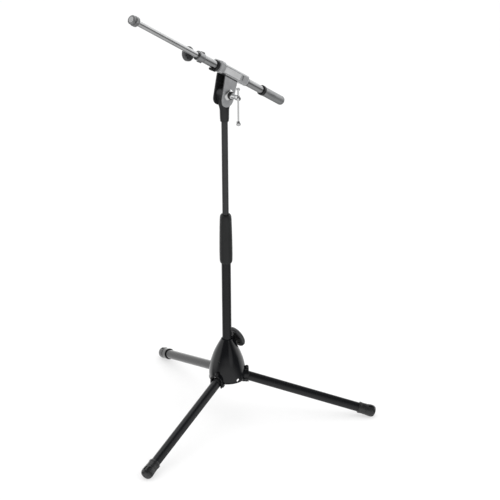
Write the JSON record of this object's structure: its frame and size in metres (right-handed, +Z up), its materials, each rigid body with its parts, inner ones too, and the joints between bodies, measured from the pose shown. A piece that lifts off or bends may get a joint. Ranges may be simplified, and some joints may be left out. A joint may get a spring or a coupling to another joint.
{
  "type": "boom microphone stand",
  "caption": "Floor-standing boom microphone stand with folding tripod legs, a two-part column with a hand-grip clutch and a telescopic counterweighted boom on a tilting clamp.",
  "frame": {"origin": "centre of the underside of the column's end plug, on the column's axis; the floor is 0.097 m below it", "axes": "+Z up along the column; +X towards the boom's counterweight; -Y towards the tilt screw's handle"},
  "size_m": [0.6017, 0.6017, 1.0533],
  "materials": {
    "gloss_shell": "moulded, glossy",
    "dark_zinc": "die-cast, dark",
    "black_plastic": "moulded, fine texture",
    "black_tube": "powder coat, satin black",
    "grip_rubber": "satin, faint vertical draw lines",
    "foot_rubber": "moulded rubber",
    "fibre": "fibre friction material",
    "black_casting": "die-cast, satin black",
    "clamp_casting": "die-cast, satin grey",
    "blank_plate": "brushed, blank",
    "chrome": "polished",
    "bright_steel": "zinc plated",
    "boom_steel": "satin nickel",
    "rod_steel": "satin nickel",
    "counterweight_grey": "powder coat, grey",
    "counterweight_cap": "powder coat, grey",
    "tip_casting": "die-cast, grey"
  },
  "bodies": {
    "base": {"base_shroud": "gloss_shell", "base_core": "dark_zinc", "clamp_shoe": "black_plastic", "leg_pin_1": "dark_zinc", "leg_pin_2": "dark_zinc", "leg_pin_3": "dark_zinc", "leg_stop_screw_1": "black_plastic", "leg_stop_screw_2": "black_plastic", "leg_stop_screw_3": "black_plastic", "shroud_screw_1": "dark_zinc", "shroud_screw_2": "dark_zinc", "shroud_screw_3": "dark_zinc"},
    "base_knob": {"base_knob": "black_plastic", "base_knob_stud": "bright_steel"},
    "column": {"lower_tube": "black_tube", "column_end_plug": "black_plastic", "clutch_insert": "black_plastic", "collet": "fibre"},
    "grip": {"hand_grip": "grip_rubber", "wiper_ring": "fibre"},
    "height_bush": {"guide_bush": "black_plastic"},
    "mast": {"upper_tube": "black_tube", "head_socket": "black_casting"},
    "clamp": {"boom_clamp": "clamp_casting", "clamp_end_cap": "clamp_casting", "blank_plate": "blank_plate", "friction_washer_front": "fibre", "friction_washer_back": "fibre", "domed_washer": "chrome", "back_washer": "bright_steel", "back_nut": "bright_steel"},
    "tilt_screw": {"t_screw": "chrome"},
    "tommy_bar": {"tommy_bar": "chrome", "bar_end_upper": "chrome", "bar_end_lower": "chrome"},
    "boom_bush": {"boom_bush": "black_plastic", "bush_screw": "bright_steel"},
    "boom": {"boom_tube": "boom_steel", "clutch_body": "clamp_casting", "clutch_nose": "black_plastic", "counterweight_ring": "black_plastic", "counterweight": "counterweight_grey", "grub_screw": "bright_steel", "end_cap": "counterweight_cap"},
    "clutch_knob": {"clutch_knob": "black_plastic", "clutch_knob_stud": "bright_steel"},
    "extension": {"extension_rod": "rod_steel", "tip_fitting": "bright_steel"},
    "lock_ring": {"lock_ring": "tip_casting"},
    "thread_guard": {"thread_guard": "tip_casting"},
    "leg_1": {"leg_tube_1": "black_tube", "leg_knuckle_1": "dark_zinc", "foot_cap_1": "foot_rubber"},
    "leg_2": {"leg_tube_2": "black_tube", "leg_knuckle_2": "dark_zinc", "foot_cap_2": "foot_rubber"},
    "leg_3": {"leg_tube_3": "black_tube", "leg_knuckle_3": "dark_zinc", "foot_cap_3": "foot_rubber"}
  },
  "joints": [
    {"name": "leg_fold_1", "type": "hinge", "parent": "base", "child": "leg_1", "pos_m": [0.03182, -0.03182, 0.006], "axis": [0.7071, 0.7071, 0], "range_deg": [0, 72.4]},
    {"name": "leg_fold_2", "type": "hinge", "parent": "base", "child": "leg_2", "pos_m": [0.01165, 0.04347, 0.006], "axis": [-0.9659, 0.2588, 0], "range_deg": [0, 72.4]},
    {"name": "leg_fold_3", "type": "hinge", "parent": "base", "child": "leg_3", "pos_m": [-0.04347, -0.01165, 0.006], "axis": [0.2588, -0.9659, 0], "range_deg": [0, 72.4]},
    {"name": "base_knob_turn", "type": "hinge", "parent": "base", "child": "base_knob", "pos_m": [0, 0, 0.092], "axis": [0.9397, 0, 0.342], "range_deg": [0, 300]},
    {"name": "column_slide", "type": "slide", "parent": "base", "child": "column", "axis": [0, 0, 1], "range_m": [-0.085, 0]},
    {"name": "grip_twist", "type": "hinge", "parent": "column", "child": "grip", "pos_m": [0, 0, 0.3055], "axis": [0, 0, 1], "range_deg": [0, 120]},
    {"name": "height_slide", "type": "slide", "parent": "column", "child": "height_bush", "axis": [0, 0, 1], "range_m": [-0.1, 0.13]},
    {"name": "boom_pan", "type": "hinge", "parent": "height_bush", "child": "mast", "pos_m": [0, 0, 0.128], "axis": [0, 0, 1], "continuous": true},
    {"name": "boom_tilt", "type": "hinge", "parent": "mast", "child": "clamp", "pos_m": [0, 0, 0.72], "axis": [0, 1, 0], "range_deg": [-108, 52]},
    {"name": "tilt_screw_turn", "type": "hinge", "parent": "clamp", "child": "tilt_screw", "pos_m": [0, 0, 0.72], "axis": [0, -1, 0], "range_deg": [0, 330]},
    {"name": "tommy_bar_slide", "type": "slide", "parent": "tilt_screw", "child": "tommy_bar", "axis": [0, 0, 1], "range_m": [-0.01, 0.046]},
    {"name": "boom_roll", "type": "hinge", "parent": "clamp", "child": "boom_bush", "pos_m": [-0.02478, 0, 0.79156], "axis": [0.8358, 0, -0.549], "range_deg": [-45, 45]},
    {"name": "boom_slide", "type": "slide", "parent": "boom_bush", "child": "boom", "axis": [0.8358, 0, -0.549], "range_m": [-0.052, 0.029]},
    {"name": "clutch_knob_turn", "type": "hinge", "parent": "boom", "child": "clutch_knob", "pos_m": [-0.08546, 0, 0.83142], "axis": [-0.1141, 0.9781, -0.1738], "range_deg": [0, 300]},
    {"name": "extension_slide", "type": "slide", "parent": "boom", "child": "extension", "axis": [-0.8358, 0, 0.549], "range_m": [-0.14, 0.1]},
    {"name": "lock_ring_turn", "type": "hinge", "parent": "extension", "child": "lock_ring", "pos_m": [-0.25463, 0, 0.94254], "axis": [-0.8358, 0, 0.549], "range_deg": [-180, 180]},
    {"name": "thread_guard_turn", "type": "hinge", "parent": "extension", "child": "thread_guard", "pos_m": [-0.26048, 0, 0.94638], "axis": [-0.8358, 0, 0.549], "range_deg": [-180, 180]}
  ]
}
